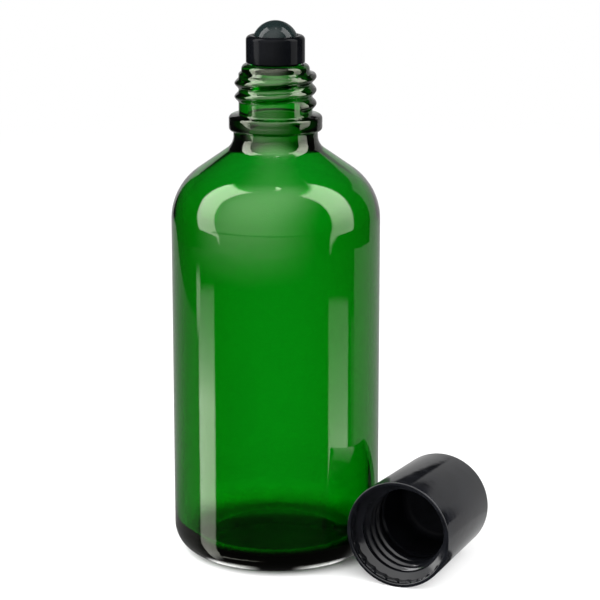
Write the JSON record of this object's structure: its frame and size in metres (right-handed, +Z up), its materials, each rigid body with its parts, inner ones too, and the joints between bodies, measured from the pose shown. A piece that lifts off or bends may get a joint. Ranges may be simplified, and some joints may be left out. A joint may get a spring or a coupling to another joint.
{
  "type": "roller bottle",
  "caption": "Round green glass bottle with a threaded neck and a roller ball in its mouth, and its black screw cap lying beside it.",
  "frame": {"origin": "on the table, in the middle of the bounding box of the standing bottle and the lying cap", "axes": "+Z up along the bottle, +X from the bottle's axis towards the cap, +Y along the lying cap from its mouth to its closed end"},
  "size_m": [0.071, 0.0468, 0.1216],
  "materials": {
    "green_glass": "moulded green bottle glass, smooth and glossy",
    "housing_plastic": "black polypropylene, smooth",
    "ball_glass": "polished glass, dark in its black cup",
    "cap_plastic": "black polypropylene, satin gloss"
  },
  "bodies": {
    "bottle": {"glass_bottle": "green_glass"},
    "fitment": {"roller_housing": "housing_plastic"},
    "ball": {"roller_ball": "ball_glass"},
    "cap": {"screw_cap": "cap_plastic"}
  },
  "joints": [
    {"name": "fitment_lift", "type": "slide", "parent": "bottle", "child": "fitment", "axis": [0, 0, 1], "range_m": [0, 0.03]},
    {"name": "ball_roll", "type": "hinge", "parent": "fitment", "child": "ball", "pos_m": [-0.01215, 0, 0.11635], "axis": [1, 0, 0], "continuous": true},
    {"name": "cap_lift", "type": "slide", "parent": "bottle", "child": "cap", "axis": [0, 0, 1], "range_m": [0, 0.13]}
  ]
}
